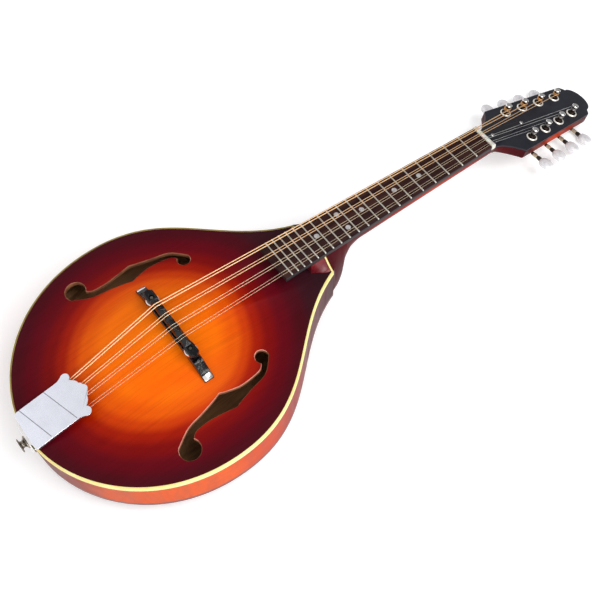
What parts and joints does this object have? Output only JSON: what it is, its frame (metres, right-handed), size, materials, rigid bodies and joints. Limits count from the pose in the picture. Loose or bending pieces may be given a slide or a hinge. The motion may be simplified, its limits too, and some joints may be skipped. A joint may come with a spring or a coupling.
{
  "type": "a-style mandolin",
  "caption": "Teardrop mandolin with a carved top, f-holes, fretted neck, adjustable bridge, slotted tailpiece cover and geared tuners.",
  "frame": {"origin": "under the middle of the whole instrument, level with the lowest point of its back", "axes": "+X towards the treble side, +Y from the tail to the head, +Z out of the top"},
  "size_m": [0.2414, 0.6568, 0.0984],
  "materials": {
    "black_lacquer": "satin black lacquer",
    "black_plastic": "polished black",
    "bone": "polished bone",
    "brass": "polished",
    "bronze_wound": "fine wound wire",
    "cream_binding": "polished cream",
    "ebony_black": "polished black",
    "neck_stain": "satin red-brown stain",
    "nickel": "bright nickel plate",
    "pearloid": "pearl pattern",
    "plain_steel": "plain wire",
    "raw_maple": "bare",
    "raw_spruce": "bare",
    "rod_steel": "plain",
    "rosewood": "oiled",
    "stained_maple": "satin red-brown stain over maple",
    "sunburst_top": "satin sunburst lacquer over fine-grained spruce"
  },
  "bodies": {
    "body": {"back_lining_bass": "raw_maple", "back_lining_treble": "raw_maple", "back_plate": "stained_maple", "bridge_base": "ebony_black", "bridge_stud_bass": "brass", "bridge_stud_treble": "brass", "end_pin": "nickel", "fretboard": "rosewood", "fretboard_riser": "sunburst_top", "head_block": "raw_maple", "headstock_overlay": "black_lacquer", "neck": "neck_stain", "nut": "bone", "rib_bass": "stained_maple", "rib_treble": "stained_maple", "string_a1": "plain_steel", "string_a2": "plain_steel", "string_d1": "bronze_wound", "string_d2": "bronze_wound", "string_e1": "plain_steel", "string_e2": "plain_steel", "string_g1": "bronze_wound", "string_g2": "bronze_wound", "tail_block": "raw_maple", "tailpiece_base": "nickel", "tailpiece_screw_bass": "nickel", "tailpiece_screw_treble": "nickel", "tone_bar_bass": "raw_spruce", "tone_bar_treble": "raw_spruce", "top_binding": "cream_binding", "top_lining_bass": "raw_maple", "top_lining_treble": "raw_maple", "top_plate": "sunburst_top", "truss_rod": "rod_steel", "truss_rod_cover": "black_plastic", "tuner_plate_bass": "nickel", "tuner_plate_treble": "nickel"},
    "saddle": {"bridge_saddle": "ebony_black"},
    "wheel_bass": {"thumbwheel_bass": "brass"},
    "wheel_treble": {"thumbwheel_treble": "brass"},
    "cover": {"tailpiece_cover": "nickel"},
    "rod_nut": {"truss_rod_nut": "brass"},
    "key_1": {"tuner_key_1": "pearloid"},
    "post_1": {"string_post_1": "nickel"},
    "key_2": {"tuner_key_2": "pearloid"},
    "post_2": {"string_post_2": "nickel"},
    "key_3": {"tuner_key_3": "pearloid"},
    "post_3": {"string_post_3": "nickel"},
    "key_4": {"tuner_key_4": "pearloid"},
    "post_4": {"string_post_4": "nickel"},
    "key_5": {"tuner_key_5": "pearloid"},
    "post_5": {"string_post_5": "nickel"},
    "key_6": {"tuner_key_6": "pearloid"},
    "post_6": {"string_post_6": "nickel"},
    "key_7": {"tuner_key_7": "pearloid"},
    "post_7": {"string_post_7": "nickel"},
    "key_8": {"tuner_key_8": "pearloid"},
    "post_8": {"string_post_8": "nickel"}
  },
  "joints": [
    {"name": "saddle_lift", "type": "slide", "parent": "body", "child": "saddle", "axis": [0, 0, 1], "range_m": [-0.0015, 0.0015], "deforming": ["string_a1", "string_a2", "string_d1", "string_d2", "string_e1", "string_e2", "string_g1", "string_g2"]},
    {"name": "wheel_bass_turn", "type": "hinge", "parent": "saddle", "child": "wheel_bass", "pos_m": [-0.0295, -0.17328, 0.08949], "axis": [0, 0, 1], "range_deg": [-770, 770]},
    {"name": "wheel_treble_turn", "type": "hinge", "parent": "saddle", "child": "wheel_treble", "pos_m": [0.0295, -0.17328, 0.08949], "axis": [0, 0, 1], "range_deg": [-770, 770]},
    {"name": "cover_slide", "type": "slide", "parent": "body", "child": "cover", "axis": [0, 0.9703, 0.2419], "range_m": [0, 0.05]},
    {"name": "rod_nut_turn", "type": "hinge", "parent": "body", "child": "rod_nut", "pos_m": [0, 0.18948, 0.05067], "axis": [0, 0.9967, -0.0809], "range_deg": [-180, 180]},
    {"name": "key_1_turn", "type": "hinge", "parent": "body", "child": "key_1", "pos_m": [-0.01839, 0.23161, 0.0233], "axis": [-0.9961, 0.0845, -0.0241], "continuous": true},
    {"name": "post_1_turn", "type": "hinge", "parent": "body", "child": "post_1", "pos_m": [-0.0189, 0.23134, 0.04344], "axis": [0, 0.274, 0.9617], "continuous": true},
    {"name": "key_2_turn", "type": "hinge", "parent": "body", "child": "key_2", "pos_m": [-0.01637, 0.25365, 0.01702], "axis": [-0.9961, 0.0845, -0.0241], "continuous": true},
    {"name": "post_2_turn", "type": "hinge", "parent": "body", "child": "post_2", "pos_m": [-0.01688, 0.25338, 0.03716], "axis": [0, 0.274, 0.9617], "continuous": true},
    {"name": "key_3_turn", "type": "hinge", "parent": "body", "child": "key_3", "pos_m": [-0.01435, 0.27568, 0.01074], "axis": [-0.9961, 0.0845, -0.0241], "continuous": true},
    {"name": "post_3_turn", "type": "hinge", "parent": "body", "child": "post_3", "pos_m": [-0.01486, 0.27541, 0.03089], "axis": [0, 0.274, 0.9617], "continuous": true},
    {"name": "key_4_turn", "type": "hinge", "parent": "body", "child": "key_4", "pos_m": [-0.01233, 0.29771, 0.00447], "axis": [-0.9961, 0.0845, -0.0241], "continuous": true},
    {"name": "post_4_turn", "type": "hinge", "parent": "body", "child": "post_4", "pos_m": [-0.01284, 0.29745, 0.02461], "axis": [0, 0.274, 0.9617], "continuous": true},
    {"name": "key_5_turn", "type": "hinge", "parent": "body", "child": "key_5", "pos_m": [0.01839, 0.23161, 0.0233], "axis": [0.9961, 0.0845, -0.0241], "continuous": true},
    {"name": "post_5_turn", "type": "hinge", "parent": "body", "child": "post_5", "pos_m": [0.0189, 0.23134, 0.04344], "axis": [0, 0.274, 0.9617], "continuous": true},
    {"name": "key_6_turn", "type": "hinge", "parent": "body", "child": "key_6", "pos_m": [0.01637, 0.25365, 0.01702], "axis": [0.9961, 0.0845, -0.0241], "continuous": true},
    {"name": "post_6_turn", "type": "hinge", "parent": "body", "child": "post_6", "pos_m": [0.01688, 0.25338, 0.03716], "axis": [0, 0.274, 0.9617], "continuous": true},
    {"name": "key_7_turn", "type": "hinge", "parent": "body", "child": "key_7", "pos_m": [0.01435, 0.27568, 0.01074], "axis": [0.9961, 0.0845, -0.0241], "continuous": true},
    {"name": "post_7_turn", "type": "hinge", "parent": "body", "child": "post_7", "pos_m": [0.01486, 0.27541, 0.03089], "axis": [0, 0.274, 0.9617], "continuous": true},
    {"name": "key_8_turn", "type": "hinge", "parent": "body", "child": "key_8", "pos_m": [0.01233, 0.29771, 0.00447], "axis": [0.9961, 0.0845, -0.0241], "continuous": true},
    {"name": "post_8_turn", "type": "hinge", "parent": "body", "child": "post_8", "pos_m": [0.01284, 0.29745, 0.02461], "axis": [0, 0.274, 0.9617], "continuous": true}
  ],
  "couplings": [
    {"joint": "saddle_lift", "follows": "wheel_bass_turn", "m_per_rad": 0.00011141},
    {"joint": "wheel_treble_turn", "follows": "wheel_bass_turn", "ratio": 1},
    {"joint": "post_1_turn", "follows": "key_1_turn", "ratio": -0.071429},
    {"joint": "post_2_turn", "follows": "key_2_turn", "ratio": -0.071429},
    {"joint": "post_3_turn", "follows": "key_3_turn", "ratio": -0.071429},
    {"joint": "post_4_turn", "follows": "key_4_turn", "ratio": -0.071429},
    {"joint": "post_5_turn", "follows": "key_5_turn", "ratio": 0.071429},
    {"joint": "post_6_turn", "follows": "key_6_turn", "ratio": 0.071429},
    {"joint": "post_7_turn", "follows": "key_7_turn", "ratio": 0.071429},
    {"joint": "post_8_turn", "follows": "key_8_turn", "ratio": 0.071429}
  ]
}
